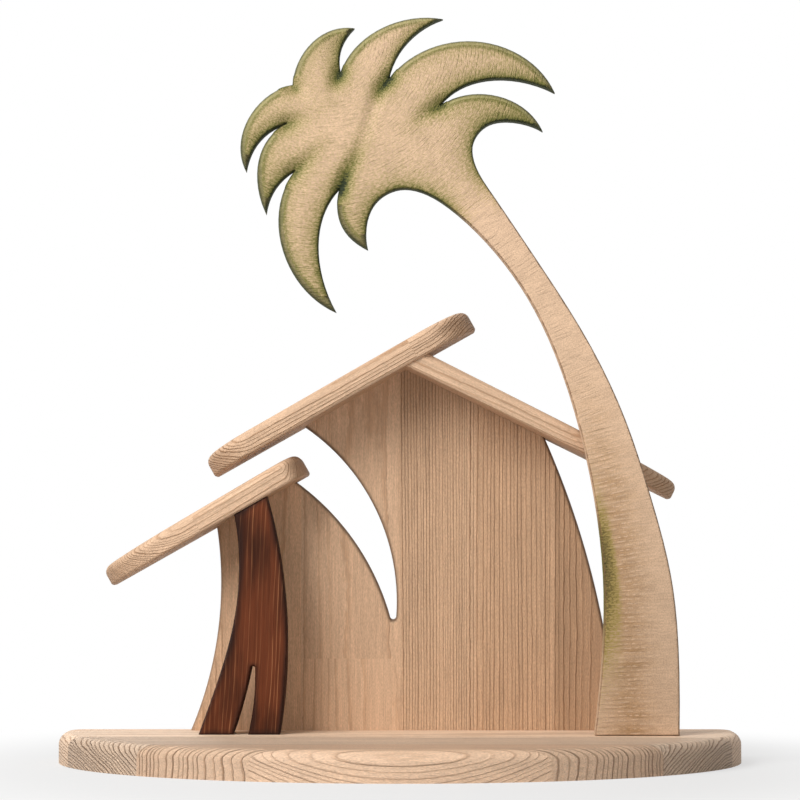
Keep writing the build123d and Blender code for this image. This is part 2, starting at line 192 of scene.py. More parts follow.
class StablePost(bpy.types.PropertyGroup):
    stain_colour: bpy.props.FloatVectorProperty(
        name="Stain", description="Dark stain of the post", subtype="COLOR", size=3, min=0, max=1,
        default=(0.088, 0.0225, 0.008))
    streak_colour: bpy.props.FloatVectorProperty(
        name="Streaks", description="Lighter grain showing through the stain", subtype="COLOR", size=3,
        min=0, max=1, default=(0.25, 0.098, 0.042))
    edge_colour: bpy.props.FloatVectorProperty(
        name="Edges", description="Stain gathered along the edges", subtype="COLOR", size=3, min=0, max=1,
        default=(0.018, 0.007, 0.005))
    easing: bpy.props.FloatProperty(
        name="Edge easing", description="Radius of the post's front edges", unit="LENGTH",
        subtype="DISTANCE", min=0, default=1.2 * MM)


class StablePalm(bpy.types.PropertyGroup):
    wood_colour: bpy.props.FloatVectorProperty(
        name="Wood", description="Bare carved wood", subtype="COLOR", size=3, min=0, max=1,
        default=(0.70, 0.485, 0.325))
    olive_colour: bpy.props.FloatVectorProperty(
        name="Olive", description="Thin airbrushed olive", subtype="COLOR", size=3, min=0, max=1,
        default=(0.38, 0.295, 0.135))
    band_colour: bpy.props.FloatVectorProperty(
        name="Rim band", description="Rounded band along bulging rims", subtype="COLOR", size=3,
        min=0, max=1, default=(0.33, 0.30, 0.135))
    flank_colour: bpy.props.FloatVectorProperty(
        name="Leaf sides", description="Green on the sawn sides of the leaves", subtype="COLOR", size=3,
        min=0, max=1, default=(0.06, 0.07, 0.03))
    glaze_colour: bpy.props.FloatVectorProperty(
        name="Trunk glaze", description="Brown tint brushed over the middle of the trunk", subtype="COLOR",
        size=3, min=0, max=1, default=(0.66, 0.57, 0.42))
    moss_colour: bpy.props.FloatVectorProperty(
        name="Trunk green", description="Olive sprayed on the trunk's left edge", subtype="COLOR", size=3,
        min=0, max=1, default=(0.345, 0.255, 0.082))
    outline_colour: bpy.props.FloatVectorProperty(
        name="Trunk outline", description="Thin brown line along the trunk's edges", subtype="COLOR",
        size=3, min=0, max=1, default=(0.16, 0.09, 0.05))
    leaf_colour: bpy.props.FloatVectorProperty(
        name="Leaf stain", description="Airbrushed green", subtype="COLOR", size=3, min=0, max=1,
        default=(0.152, 0.144, 0.036))
    rim_colour: bpy.props.FloatVectorProperty(
        name="Rim", description="Darkest green, along the rim and in the valleys", subtype="COLOR", size=3,
        min=0, max=1, default=(0.018, 0.026, 0.008))
    leaf_rounding: bpy.props.FloatProperty(
        name="Leaf rounding", description="Radius of the leaves' front edges", unit="LENGTH",
        subtype="DISTANCE", min=0, default=3.6 * MM)
    trunk_rounding: bpy.props.FloatProperty(
        name="Trunk rounding", description="Radius of the trunk's front edges", unit="LENGTH",
        subtype="DISTANCE", min=0, default=1.2 * MM)
    valley_depth: bpy.props.FloatProperty(
        name="Valley depth", description="Depth of the carved valleys at the rim", unit="LENGTH",
        subtype="DISTANCE", min=0, default=1.9 * MM)
    mark_spacing: bpy.props.FloatProperty(
        name="Tool marks", description="Distance between the marks across leaves and trunk", unit="LENGTH",
        subtype="DISTANCE", min=0.2 * MM, default=2.4 * MM)


class StableFixings(bpy.types.PropertyGroup):
    zinc_shade: bpy.props.FloatVectorProperty(
        name="Zinc shade", description="Darker crystals of the screws' zinc", subtype="COLOR", size=3,
        min=0, max=1, default=(0.42, 0.40, 0.36))
    zinc_light: bpy.props.FloatVectorProperty(
        name="Zinc light", description="Lighter crystals of the screws' zinc", subtype="COLOR", size=3,
        min=0, max=1, default=(0.72, 0.70, 0.64))
    beech_colour: bpy.props.FloatVectorProperty(
        name="Beech", description="Pale wood of the dowels", subtype="COLOR", size=3, min=0, max=1,
        default=(0.62, 0.40, 0.25))
    fleck_colour: bpy.props.FloatVectorProperty(
        name="Beech flecks", description="Short dark flecks in the dowels", subtype="COLOR", size=3,
        min=0, max=1, default=(0.36, 0.20, 0.11))


class StableStage(bpy.types.PropertyGroup):
    floor_colour: bpy.props.FloatVectorProperty(
        name="Floor", description="Colour of the plain floor", subtype="COLOR", size=3, min=0, max=1,
        default=(0.60, 0.60, 0.60))
    key_power: bpy.props.FloatProperty(
        name="Key light", description="Power of the large lamp on the upper left", unit="POWER",
        subtype="POWER", min=0, default=46)
    fill_power: bpy.props.FloatProperty(
        name="Fill light", description="Power of the lamp on the right", unit="POWER", subtype="POWER",
        min=0, default=5)
    back_power: bpy.props.FloatProperty(
        name="Back light", description="Power of the lamp behind the stable", unit="POWER", subtype="POWER",
        min=0, default=6)
    sky: bpy.props.FloatProperty(
        name="Room light", description="Strength of the even light of the room", min=0, default=0.26)
    sky_colour: bpy.props.FloatVectorProperty(
        name="Room colour", description="Warm tint that the room's walls give to its light",
        subtype="COLOR", size=3, min=0, max=1, default=(1.0, 0.95, 0.89))
    camera_distance: bpy.props.FloatProperty(
        name="Camera distance", description="How far the camera stands in front of the middle",
        unit="LENGTH", subtype="DISTANCE", min=0.1, default=1.48)
    camera_height: bpy.props.FloatProperty(
        name="Camera height", description="Height of the camera above the floor", unit="LENGTH",
        subtype="DISTANCE", default=0.135)
    camera_tilt: bpy.props.FloatProperty(
        name="Camera tilt", description="How far the camera looks up", unit="ROTATION", subtype="ANGLE",
        default=math.atan(0.056))
    camera_lens: bpy.props.FloatProperty(
        name="Lens", description="Focal length", unit="CAMERA", subtype="DISTANCE_CAMERA", default=112.5)


class Grain:
    """Adds shader nodes to one material: sockets are linked, numbers and colours set on the input."""

    def __init__(self, name):
        self.material = bpy.data.materials.new(name)
        self.material.use_nodes = True
        self.tree = self.material.node_tree
        self.tree.nodes.clear()
        self.place = self.add("TexCoord").outputs["Object"]

    def add(self, kind, inputs=(), **settings):
        node = self.tree.nodes.new("ShaderNode" + kind)
        for key, value in settings.items():
            setattr(node, key, value)
        for key, value in dict(inputs).items():
            if isinstance(value, bpy.types.NodeSocket):
                self.tree.links.new(value, node.inputs[key])
            else:
                node.inputs[key].default_value = value
        return node

    def math(self, operation, *values):
        return self.add("Math", dict(enumerate(values)), operation=operation).outputs[0]

    def times(self, first, second):
        return self.math("MULTIPLY", first, second)

    def scaled(self, value, factor, offset):
        """A value times a factor, plus an offset."""
        return self.math("MULTIPLY_ADD", value, factor, offset)

    def centred(self, value):
        """A value of noise, counted from its middle."""
        return self.math("SUBTRACT", value, 0.5)

    def vector(self, operation, *values):
        node = self.add("VectorMath", dict(enumerate(values)), operation=operation)
        return node.outputs["Value" if operation in ("LENGTH", "DOT_PRODUCT") else "Vector"]

    def stretch(self, vector, scale):
        return self.vector("MULTIPLY", vector, scale)

    def part(self, vector, axis):
        return self.add("SeparateXYZ", {"Vector": vector}).outputs[axis]

    def normal(self):
        return self.add("NewGeometry").outputs["Normal"]

    def leaning(self, angle):
        """The place, turned by an angle about Y."""
        return self.add("Mapping", {"Vector": self.place, "Rotation": (0, angle, 0)}).outputs["Vector"]

    def noise(self, vector, scale, detail, output="Fac"):
        inputs = {"Vector": vector, "Scale": scale, "Detail": detail}
        return self.add("TexNoise", inputs).outputs[output]

    def drawn(self, vector, waves, detail):
        """Noise with a number of waves per metre in each direction."""
        return self.noise(self.stretch(vector, waves), 1.0, detail)

    def chance(self, value):
        """A random number from 0 to 1 for each whole number that a value passes."""
        whole = self.math("FLOOR", value)
        return self.add("TexWhiteNoise", {"W": whole}, noise_dimensions="1D").outputs["Value"]

    def soft(self, value, low, high, start=0.0, end=1.0):
        """Smooth step of a value: start below low, end above high."""
        inputs = {"Value": value, "From Min": low, "From Max": high, "To Min": start, "To Max": end}
        return self.add("MapRange", inputs, interpolation_type="SMOOTHSTEP").outputs["Result"]

    def blend(self, factor, first, second, kind="MIX"):
        inputs = {0: factor, 6: first, 7: second}
        return self.add("Mix", inputs, data_type="RGBA", blend_type=kind).outputs[2]

    def tint(self, colour, other):
        """One colour multiplied by another."""
        return self.blend(1.0, colour, other, "MULTIPLY")

    def shaded(self, colour, shade):
        """A colour multiplied by a number."""
        return self.tint(colour, self.add("CombineColor", {0: shade, 1: shade, 2: shade}).outputs[0])

    def attribute(self, name):
        return self.add("Attribute", attribute_name=name).outputs["Fac"]

    def finish(self, colour, roughness, height, relief, specular=0.5, metallic=0.0):
        """Shader with this colour and roughness, and bumps of a height times the relief."""
        bump = self.add("Bump", {"Height": height, "Distance": relief, "Strength": 1.0})
        inputs = {"Base Color": colour, "Roughness": roughness, "Normal": bump.outputs["Normal"]}
        constants = {"Specular IOR Level": specular, "Metallic": metallic}
        shader = self.add("BsdfPrincipled", {**inputs, **constants})
        self.add("OutputMaterial", {"Surface": shader.outputs["BSDF"]})
        return self.material


def opaque(colour, tone=1.0):
    return (*(channel * tone for channel in colour), 1.0)


def warmed(colour, board):
    """A colour at the board's tone, with blue and half as much green taken out by its warmth."""
    red, green, blue = colour
    return opaque((red, green * (1 - board.warmth / 2), blue * (1 - board.warmth)), board.tone)


# Noise on softwood, in waves per metre along the grain and in the two directions across it
FLUTTER = (130, 520, 520)
FIBRE = (45, 2400, 2400)
DASH = (600, 2300, 2300)
STREAK = (11, 420, 420)
PATCH = (6, 34, 34)
# Slow noise that bends the rings: its stretch, its scale, and what brings its spread to about one
BEND = (0.12, 1, 1)
BEND_SCALE = 38
BEND_SPREAD = 4
# A second length of timber: shift of its heart line, and how much paler it is
SECOND_SHIFT = (0, 9 * MM, 14 * MM)
SECOND_PALER = 0.05
# An eased edge's painted shade: how much darker it is painted, how far that reaches as a share of its
# radius, and the levels of the normal's Y between which a surface turns from the front to the side
EDGE_SHADE = 0.58
EDGE_SHADE_REACH = 1.2
FORWARD = (-0.45, 0.3)
# Levels of the normal's Y between which a surface turns to the back
BACKWARD = (0.4, 0.7)


def growth_rings(wood, local, board):
    """Rings counted from the heart line: the distance from it in ring widths, bent by slow noise, with
    some years wider than others and lines that are ragged along the grain."""
    slow = wood.noise(wood.stretch(local, BEND), BEND_SCALE, 2, "Color")
    sway = BEND_SPREAD * board.wander * MM
    bend = wood.stretch(wood.vector("SUBTRACT", slow, (0.5, 0.5, 0.5)), (0, sway, sway))
    shell = wood.stretch(wood.vector("ADD", local, bend), (0, 1, 1))
    radius = wood.math("DIVIDE", wood.vector("LENGTH", shell), board.ring * MM)
    years = wood.add("TexNoise", {"W": radius, "Scale": 0.23, "Detail": 2.0}, noise_dimensions="1D")
    ring = wood.scaled(years.outputs["Fac"], 1.6, radius)
    return wood.scaled(wood.drawn(local, FLUTTER, 2), board.ragged, ring)


def late_wood(wood, ring):
    """Share of late wood: a year darkens slowly, is darkest just before its end and ends sharply, and
    some years are darker than others."""
    age = wood.math("FRACT", ring)
    late = wood.times(wood.soft(age, 0.66, 0.88), wood.soft(age, 0.9, 1.0, 1.0, 0.0))
    late = wood.scaled(wood.soft(age, 0.0, 0.95), 0.2, wood.times(late, 0.8))
    return wood.times(late, wood.scaled(wood.chance(ring), 0.6, 0.45))


def painted_edge_shade(wood, timber):
    """Painted shade on a stave's front: dark where its eased edge meets the sawn sides, plain further in."""
    forward = wood.soft(wood.part(wood.normal(), "Y"), *FORWARD, 1.0, 0.0)
    dark = wood.soft(wood.attribute("edge"), 0.0, EDGE_SHADE_REACH * timber.easing, EDGE_SHADE, 0.0)
    return wood.math("SUBTRACT", 1.0, wood.times(dark, forward))


def brushed_softwood(name, timber, board):
    """Solid wood: rings are shells round the heart line that runs along the grain, and fibres are noise
    drawn out along it. Wood cut across the grain is darker, and late wood stands proud where it was
    brushed. Past the joint the heart line shifts and the wood is paler, as in a second length of timber.
    Sawn staves get painted shade along their eased front edges."""
    wood = Grain(name)
    turn = board.run.to_track_quat("X", "Z").to_matrix().transposed()
    mapping = {"Vector": wood.place, "Rotation": turn.to_euler(), "Location": -(turn @ (board.heart * MM))}
    local = wood.add("Mapping", mapping).outputs["Vector"]
    station = wood.vector("DOT_PRODUCT", wood.place, board.run)
    second = wood.math(board.second, station, board.joint * MM)
    shift = wood.add("VectorMath", {0: SECOND_SHIFT, "Scale": second}, operation="SCALE")
    local = wood.vector("ADD", local, shift.outputs["Vector"])
    late = late_wood(wood, growth_rings(wood, local, board))
    fibre = wood.drawn(local, FIBRE, 3)
    dash = wood.drawn(local, DASH, 2)
    facing = wood.vector("DOT_PRODUCT", wood.normal(), board.run)
    cut = wood.soft(wood.math("ABSOLUTE", facing), 0.2, 0.9)
    line = wood.times(late, wood.soft(dash, 0.25, 0.65, 0.6, 1.2))
    line = wood.times(line, wood.scaled(cut, board.darkness, board.darkness))
    colour = wood.blend(line, warmed(timber.early_colour, board), warmed(timber.late_colour, board))
    shade = wood.soft(fibre, 0.25, 0.75, 0.88, 1.12)
    shade = wood.times(shade, wood.scaled(wood.drawn(local, PATCH, 2), 0.3, 0.85))
    shade = wood.times(shade, wood.soft(dash, 0.25, 0.75, 0.86, 1.14))
    shade = wood.times(shade, wood.soft(wood.drawn(local, STREAK, 2), 0.25, 0.75, 0.94, 1.06))
    shade = wood.scaled(second, SECOND_PALER, shade)
    # Painted shade along the sawn staves' eased front edges
    if name in SAWN_STAVES:
        shade = wood.times(shade, painted_edge_shade(wood, timber))
    colour = wood.shaded(colour, shade)
    colour = wood.blend(cut, colour, wood.tint(colour, opaque(timber.end_colour)))
    rough = wood.scaled(fibre, 0.16, timber.roughness - 0.08)
    height = wood.scaled(fibre, 0.4, wood.scaled(dash, 0.5, late))
    return wood.finish(colour, rough, height, board.relief * MM, specular=board.sheen)


# The post's grain: its lean, the width of a ring, noise in waves per metre, and height of its bumps
POST_LEAN = math.radians(-3)
POST_RING = 2.5 * MM
POST_SWAY = (60, 60, 9)
POST_BREAK = (420, 420, 16)
POST_THREAD = (1900, 1900, 45)
POST_CLOUD = (75, 75, 18)
POST_RELIEF = 0.16 * MM
# Distances from the outline between which the gathered stain thins out, and how far these waver
STAIN_EDGE = (1.6 * MM, 6.4 * MM)
STAIN_WAVER = 4.0 * MM


def stained_wood(post):
    """Dark stain over upright grain: thin light lines are rings of a board sawn near its heart, broken
    up along Z, over slower dark clouds; the stain gathers along the piece's edges by its distance from
    the outline, but not on its back."""
    stain = Grain("stained_post")
    lean = stain.leaning(POST_LEAN)
    ring = stain.math("DIVIDE", stain.part(lean, "X"), POST_RING)
    ring = stain.scaled(stain.drawn(lean, POST_SWAY, 2), 2.4, ring)
    age = stain.math("FRACT", ring)
    light = stain.times(stain.soft(age, 0.62, 0.82), stain.soft(age, 0.84, 1.0, 1.0, 0.0))
    light = stain.times(light, stain.soft(stain.chance(ring), 0.2, 1.0, 0.1, 1.2))
    thread = stain.drawn(lean, POST_THREAD, 3)
    cloud = stain.drawn(lean, POST_CLOUD, 3)
    bright = stain.times(light, stain.soft(stain.drawn(lean, POST_BREAK, 2), 0.34, 0.62))
    colour = stain.blend(bright, opaque(post.stain_colour), opaque(post.streak_colour))
    shade = stain.scaled(thread, 0.9, 0.55)
    shade = stain.times(shade, stain.soft(cloud, 0.3, 0.68, 0.48, 1.45))
    colour = stain.shaded(colour, shade)
    rim = stain.scaled(cloud, STAIN_WAVER, stain.attribute("edge"))
    rim = stain.math("ADD", rim, stain.soft(stain.part(stain.normal(), "Y"), *BACKWARD))
    colour = stain.blend(stain.soft(rim, *STAIN_EDGE, 0.85, 0.0), colour, opaque(post.edge_colour))
    rough = stain.scaled(thread, 0.2, 0.42)
    height = stain.scaled(light, 0.6, thread)
    return stain.finish(colour, rough, height, POST_RELIEF, specular=0.12)


# Noise on the palm, in waves per metre: alike in all directions
SPECKLE = 1150
GRIT = 620
WAVER = 210
BLOTCH = 75
# Along the path of the tool marks and across it
SCRATCH = (950, 110, 0)
BUNDLE = (130, 90, 0)
WASH = (230, 22, 0)
RUNG_BREAK = (420, 260, 0)
FLECK = (1250, 450, 0)
# In X, Y and Z on its bare back, with the number of rings in a wave and the lean of the grain
BACK_FIBRE = (900, 900, 22)
BACK_RING = (170, 170, 7)
BACK_RINGS = 9.0
PALM_LEAN = math.radians(8)
# Distances from the outline between which the rim's band and lines come and go, and how far they waver
RIM_BAND = (3.3 * MM, 3.8 * MM)
RIM_LINE = (3.1 * MM, 3.8 * MM)
RIM_LINE_END = (4.3 * MM, 6.4 * MM)
RIM_WAVER = 0.9 * MM
THIN_OUTLINE = (0.3 * MM, 1.1 * MM)
WIDE_OUTLINE = (0.8 * MM, 2.1 * MM)
# Heights between which the trunk's foot is darkened with painted shade, and height of the palm's bumps
SHADED_FOOT = (30 * MM, 250 * MM)
PALM_RELIEF = 0.25 * MM


class PalmGrain(Grain):
    """Nodes of the carved palm: its colours, the values of the piece, and what its layers share."""

    def __init__(self, palm):
        super().__init__("carved_palm")
        self.palm = palm
        self.edge, self.green = self.attribute("edge"), self.attribute("green")
        self.bulge, self.crown = self.attribute("bulge"), self.attribute("crown")
        along, across = self.attribute("along"), self.attribute("across")
        self.path = self.add("CombineXYZ", {"X": along, "Y": across}).outputs["Vector"]
        self.speckle = self.noise(self.place, SPECKLE, 2)
        self.waver = self.noise(self.place, WAVER, 2)
        self.scratch = self.drawn(self.path, SCRATCH, 2)
        step = self.math("DIVIDE", along, palm.mark_spacing)
        step = self.scaled(self.waver, self.soft(self.crown, 0.0, 1.0, 0.45, 1.0), step)
        self.swing = self.math("PINGPONG", step, 0.5)
        self.mark = self.tool_marks()
        self.shade = self.mottle()
        self.facing = self.normal()

    def tool_marks(self):
        """Notches at even steps along the path, and finer scratches, both gathered in bundles."""
        notch = self.times(self.soft(self.swing, 0.28, 0.5), self.soft(self.scratch, 0.36, 0.55))
        mark = self.scaled(self.soft(self.scratch, 0.5, 0.7), 0.7, self.times(notch, 0.9))
        mark = self.times(mark, self.soft(self.drawn(self.path, BUNDLE, 2), 0.3, 0.62, 0.25, 1.0))
        return self.times(mark, self.attribute("marks"))

    def mottle(self):
        """Light and dark of the wood: speckle, scratches, slow blotches, grit on the leaves, and painted
        shade on the trunk's foot.
        """
        shade = self.soft(self.speckle, 0.3, 0.7, 0.86, 1.12)
        shade = self.times(shade, self.soft(self.scratch, 0.3, 0.7, 1.07, 0.93))
        shade = self.times(shade, self.scaled(self.noise(self.place, BLOTCH, 3), 0.3, 0.85))
        grit = self.times(self.crown, self.centred(self.noise(self.place, GRIT, 2)))
        shade = self.times(shade, self.scaled(grit, 0.55, 1.0))
        # Painted shade: the trunk is darker towards its foot
        return self.times(shade, self.soft(self.part(self.place, "Z"), *SHADED_FOOT, 0.8, 1.0))

    def glazed(self, colour):
        """Brown wash over the middle of the trunk, with light scratches between the tool marks."""
        wash = self.soft(self.drawn(self.path, WASH, 2), 0.25, 0.75, 0.4, 1.0)
        wash = self.times(self.attribute("glaze"), wash)
        rung = self.soft(self.swing, 0.05, 0.2, 1.0, 0.0)
        rung = self.times(rung, self.soft(self.drawn(self.path, RUNG_BREAK, 1), 0.42, 0.58))
        wash = self.times(wash, self.math("SUBTRACT", 1.0, rung))
        return self.blend(wash, colour, self.tint(colour, opaque(self.palm.glaze_colour)))

    def sprayed(self, colour):
        """Airbrushed green by the piece's green value, broken up by speckle, tool marks and flecks: from
        olive to leaf green to nearly black, with the trunk's own olive in place of the first two there."""
        spray = self.scaled(self.centred(self.speckle), 0.75, self.green)
        spray = self.scaled(self.math("SUBTRACT", self.mark, 0.2), 0.12, spray)
        fleck = self.soft(self.drawn(self.path, FLECK, 1), 0.36, 0.64, -0.5, 0.5)
        fleck = self.times(fleck, self.soft(self.green, 0.1, 0.6, 0.1, 0.32))
        spray = self.math("ADD", spray, self.times(fleck, self.soft(self.green, 0.0, 0.15)))
        moss = self.palm.moss_colour
        olive = self.blend(self.crown, opaque(moss), opaque(self.palm.olive_colour))
        leafy = self.blend(self.crown, opaque(moss, 0.42), opaque(self.palm.leaf_colour))
        colour = self.blend(self.soft(spray, 0.0, 0.6), colour, olive)
        colour = self.blend(self.soft(spray, 0.45, 1.0), colour, leafy)
        return self.blend(self.soft(spray, 0.95, 1.45), colour, opaque(self.palm.rim_colour))

    def rimmed(self, colour):
        """Rounded band along bulging rims, with painted highlight where it faces up and painted shade where
        it faces down, and a dark line inside it; then a thin broken outline round the whole piece, wider on
        bulging rims."""
        # Painted light on the rim band: lighter where it faces up, darker where it faces down
        upward = self.soft(self.part(self.facing, "Z"), -0.15, 0.45, 0.35, 1.0)
        ragged = self.scaled(self.waver, RIM_WAVER, self.edge)
        band = self.times(self.bulge, self.soft(ragged, *RIM_BAND, 0.7, 0.0))
        painted_light = self.times(upward, self.scaled(self.waver, 1.0, 0.5))
        colour = self.blend(band, colour, self.shaded(opaque(self.palm.band_colour), painted_light))
        line = self.times(self.soft(ragged, *RIM_LINE), self.soft(ragged, *RIM_LINE_END, 0.85, 0.0))
        line = self.times(line, self.soft(self.speckle, 0.3, 0.6, 0.45, 1.0))
        colour = self.blend(self.times(self.bulge, line), colour, opaque(self.palm.leaf_colour))
        thin = self.soft(self.edge, *THIN_OUTLINE, 1.0, 0.0)
        wide = self.times(self.bulge, self.soft(self.edge, *WIDE_OUTLINE, 0.75, 0.0))
        broken = self.soft(self.waver, 0.35, 0.6, 0.4, 0.9)
        traced = self.times(self.math("MAXIMUM", thin, wide), broken)
        outline = self.blend(self.crown, opaque(self.palm.outline_colour), opaque(self.palm.rim_colour))
        return self.blend(traced, colour, outline)

    def sided(self, colour):
        """Sawn sides: dark green on the leaves, and on the trunk wood that is green beside the spray."""
        flank = self.soft(self.math("ABSOLUTE", self.part(self.facing, "Y")), 0.2, 0.5, 1.0, 0.0)
        wood, leaf = opaque(self.palm.wood_colour, 0.85), opaque(self.palm.leaf_colour)
        sawn = self.blend(self.soft(self.green, 0.3, 1.0), wood, leaf)
        sawn = self.blend(self.crown, sawn, opaque(self.palm.flank_colour))
        return self.blend(flank, colour, self.shaded(sawn, self.shade))

    def backed(self, colour):
        """Bare back: fibres and ring lines that lean as the trunk does."""
        lean = self.leaning(PALM_LEAN)
        ring = self.times(self.drawn(lean, BACK_RING, 1), BACK_RINGS)
        ring = self.soft(self.math("PINGPONG", ring, 0.5), 0.3, 0.5, 1.0, 0.78)
        bare = self.times(ring, self.soft(self.drawn(lean, BACK_FIBRE, 3), 0.3, 0.7, 0.86, 1.12))
        bare = self.shaded(opaque(self.palm.wood_colour), bare)
        return self.blend(self.soft(self.part(self.facing, "Y"), *BACKWARD), colour, bare)


def carved_palm(palm):
    """Carved and airbrushed wood in layers: wood darkened in its tool marks and mottled, then glaze,
    green, rims, sawn sides and the bare back. Tool marks are cut in."""
    carved = PalmGrain(palm)
    wood = palm.wood_colour
    colour = carved.blend(carved.times(carved.mark, 0.3), opaque(wood), opaque(wood, 0.5))
    colour = carved.shaded(colour, carved.shade)
    for layer in (carved.glazed, carved.sprayed, carved.rimmed, carved.sided, carved.backed):
        colour = layer(colour)
    rough = carved.scaled(carved.speckle, 0.2, 0.55)
    height = carved.scaled(carved.speckle, 0.25, carved.times(carved.mark, -1.0))
    return carved.finish(colour, rough, height, PALM_RELIEF, specular=0.2)


# Noise on the fixings in waves per metre, and height of their bumps
FROST = 900
FROST_RELIEF = 0.02 * MM
BEECH_FLECK = (900, 900, 140)
BEECH_RELIEF = 0.05 * MM


def zinc_steel(fixings):
    """Zinc plate: fine frosted noise in colour and roughness."""
    steel = Grain("screw_zinc")
    frost = steel.noise(steel.place, FROST, 3)
    colour = steel.blend(frost, opaque(fixings.zinc_shade), opaque(fixings.zinc_light))
    rough = steel.scaled(frost, 0.3, 0.22)
    return steel.finish(colour, rough, frost, FROST_RELIEF, metallic=1.0)


def plain_beech(fixings):
    """Turned beech: short dark flecks on pale pinkish wood."""
    beech = Grain("dowel_beech")
    fleck = beech.drawn(beech.place, BEECH_FLECK, 2)
    flecked = beech.soft(fleck, 0.55, 0.75)
    colour = beech.blend(flecked, opaque(fixings.beech_colour), opaque(fixings.fleck_colour))
    rough = beech.scaled(fleck, 0.15, 0.55)
    return beech.finish(colour, rough, fleck, BEECH_RELIEF)


def dress(node, material):
    """Give a CAD node's object this material in every slot."""
    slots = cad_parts[node].material_slots
    if not slots:
        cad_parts[node].data.materials.append(material)
    for slot in slots:
        slot.material = material


# How far a point may lie before the flat back (m), what keeps a division from one by nothing, and how many
# points are measured at a time
FLAT_TOLERANCE = 0.01 * MM
TINY = 1e-9
BLOCK = 2000


def back_outline(node):
    """Closed outline of an upright board, from the flat back of its CAD node, as points in X and Z.
    Rim edges are those with no twin in the other direction; the loop is read off by doubling: the
    points n steps on from the first n points are the next n."""
    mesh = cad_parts[node].data
    mesh.calc_loop_triangles()
    points = np.empty(len(mesh.vertices) * 3)
    mesh.vertices.foreach_get("co", points)
    points = points.reshape(-1, 3)
    corners = np.empty(len(mesh.loop_triangles) * 3, int)
    mesh.loop_triangles.foreach_get("vertices", corners)
    flat = points[:, 1] > points[:, 1].max() - FLAT_TOLERANCE
    corners = corners.reshape(-1, 3)
    corners = corners[flat[corners].all(axis=1)]
    rounded = np.round(points[:, [0, 2]] / MM, decimals=3)
    unique, index = np.unique(rounded, axis=0, return_inverse=True)
    corners = index.ravel()[corners]
    starts, ends = corners.ravel(), np.roll(corners, -1, axis=1).ravel()
    size = len(unique)
    rim = ~np.isin(starts * size + ends, ends * size + starts)
    follow = np.arange(size)
    follow[starts[rim]] = ends[rim]
    loop, jump = starts[rim][:1], follow
    while len(loop) < rim.sum():
        loop, jump = np.concatenate([loop, jump[loop]]), jump[jump]
    return unique[loop[:rim.sum()]]


def turning(loop, reach):
    """How far a closed loop turns within a reach either side of each of its points, in radians; where
    it bulges outward the turn is positive. Headings are summed along the loop's own length."""
    sides = np.roll(loop, -1, axis=0) - loop
    heading = np.arctan2(sides[:, 1], sides[:, 0])
    bend = (heading - np.roll(heading, 1) + math.pi) % (2 * math.pi) - math.pi
    lengths = np.hypot(*sides.T)
    place = np.cumsum(lengths) - lengths
    round_trip, total = lengths.sum(), bend.sum()
    places = np.concatenate([place - round_trip, place, place + round_trip])
    sums = np.cumsum(bend)
    sums = np.concatenate([sums - total, sums, sums + total])
    turn = np.interp(place + reach, places, sums) - np.interp(place - reach, places, sums)
    return turn * np.sign(total)


def divided(loop, step):
    """A closed loop with every side divided into equal parts no longer than step."""
    sides = np.roll(loop, -1, axis=0) - loop
    counts = np.maximum(np.ceil(np.hypot(*sides.T) / step).astype(int), 1)
    side = np.repeat(np.arange(len(loop)), counts)
    part = np.arange(counts.sum()) - np.repeat(np.cumsum(counts) - counts, counts)
    return loop[side] + sides[side] * (part / counts[side])[:, None]


def joined(lines):
    """Starts, ends, length before each side and line number of many open lines taken together."""
    points = [np.array(line) for line in lines]
    starts = np.concatenate([line[:-1] for line in points])
    ends = np.concatenate([line[1:] for line in points])
    lengths = [np.hypot(*np.diff(line, axis=0).T) for line in points]
    before = np.concatenate([np.cumsum(length) - length for length in lengths])
    number = np.repeat(np.arange(len(points)), [len(length) for length in lengths])
    return starts, ends, before, number


def full_lengths(lines):
    """Length of each of several open lines."""
    return np.array([np.hypot(*np.diff(np.array(line), axis=0).T).sum() for line in lines])


def nearest(points, starts, ends):
    """Distance from each point to the nearest side, which side that is and the share along it, found
    by dropping each point square onto every side, a block of points at a time."""
    sides = ends - starts
    squares = np.maximum((sides ** 2).sum(axis=1), TINY)
    found = []
    for block in np.array_split(points, max(len(points) // BLOCK, 1)):
        offset = block[:, None, :] - starts
        share = np.clip((offset * sides).sum(axis=2) / squares, 0, 1)
        gap = ((offset - share[..., None] * sides) ** 2).sum(axis=2)
        best = gap.argmin(axis=1)
        row = np.arange(len(block))
        found.append((np.sqrt(gap[row, best]), best, share[row, best]))
    return [np.concatenate(column) for column in zip(*found)]


def stations(points, lines):
    """Distance of each point from the nearest of several open lines, the number of that line, the length
    along it to the nearest place, and that place's X."""
    starts, ends, before, number = joined(lines)
    away, side, share = nearest(points, starts, ends)
    sides = ends - starts
    along = before[side] + share * np.hypot(*sides.T)[side]
    return away, number[side], along, starts[side, 0] + share * sides[side, 0]


def inside(points, loop):
    """Which points lie inside a closed loop: a ray along X crosses its sides an odd number of times."""
    ends = np.roll(loop, -1, axis=0)
    found = []
    for block in np.array_split(points, max(len(points) // BLOCK, 1)):
        x, z = block[:, :1], block[:, 1:]
        spans = (loop[:, 1] > z) != (ends[:, 1] > z)
        rise = np.where(ends[:, 1] == loop[:, 1], 1.0, ends[:, 1] - loop[:, 1])
        cross = loop[:, 0] + (z - loop[:, 1]) * (ends[:, 0] - loop[:, 0]) / rise
        found.append((spans & (x < cross)).sum(axis=1) % 2 == 1)
    return np.concatenate(found)


# Spacing of the points on the post, and on the finer palm and staves (mm)
POST_GRID = 0.9
FINE_GRID = 0.8
# Least distance of a grid point from the outline as a share of that spacing, the reach within which the
# outline's turn is measured (mm), and the angle past which an edge is sharp
RIM_SHARE = 0.6
TURN_REACH = 5.0
SHARP = math.radians(42)
# Only triangles inside the outline are made, and points closer than this are taken as one (mm)
INSIDE_ONLY = 1
MERGED = 1e-9


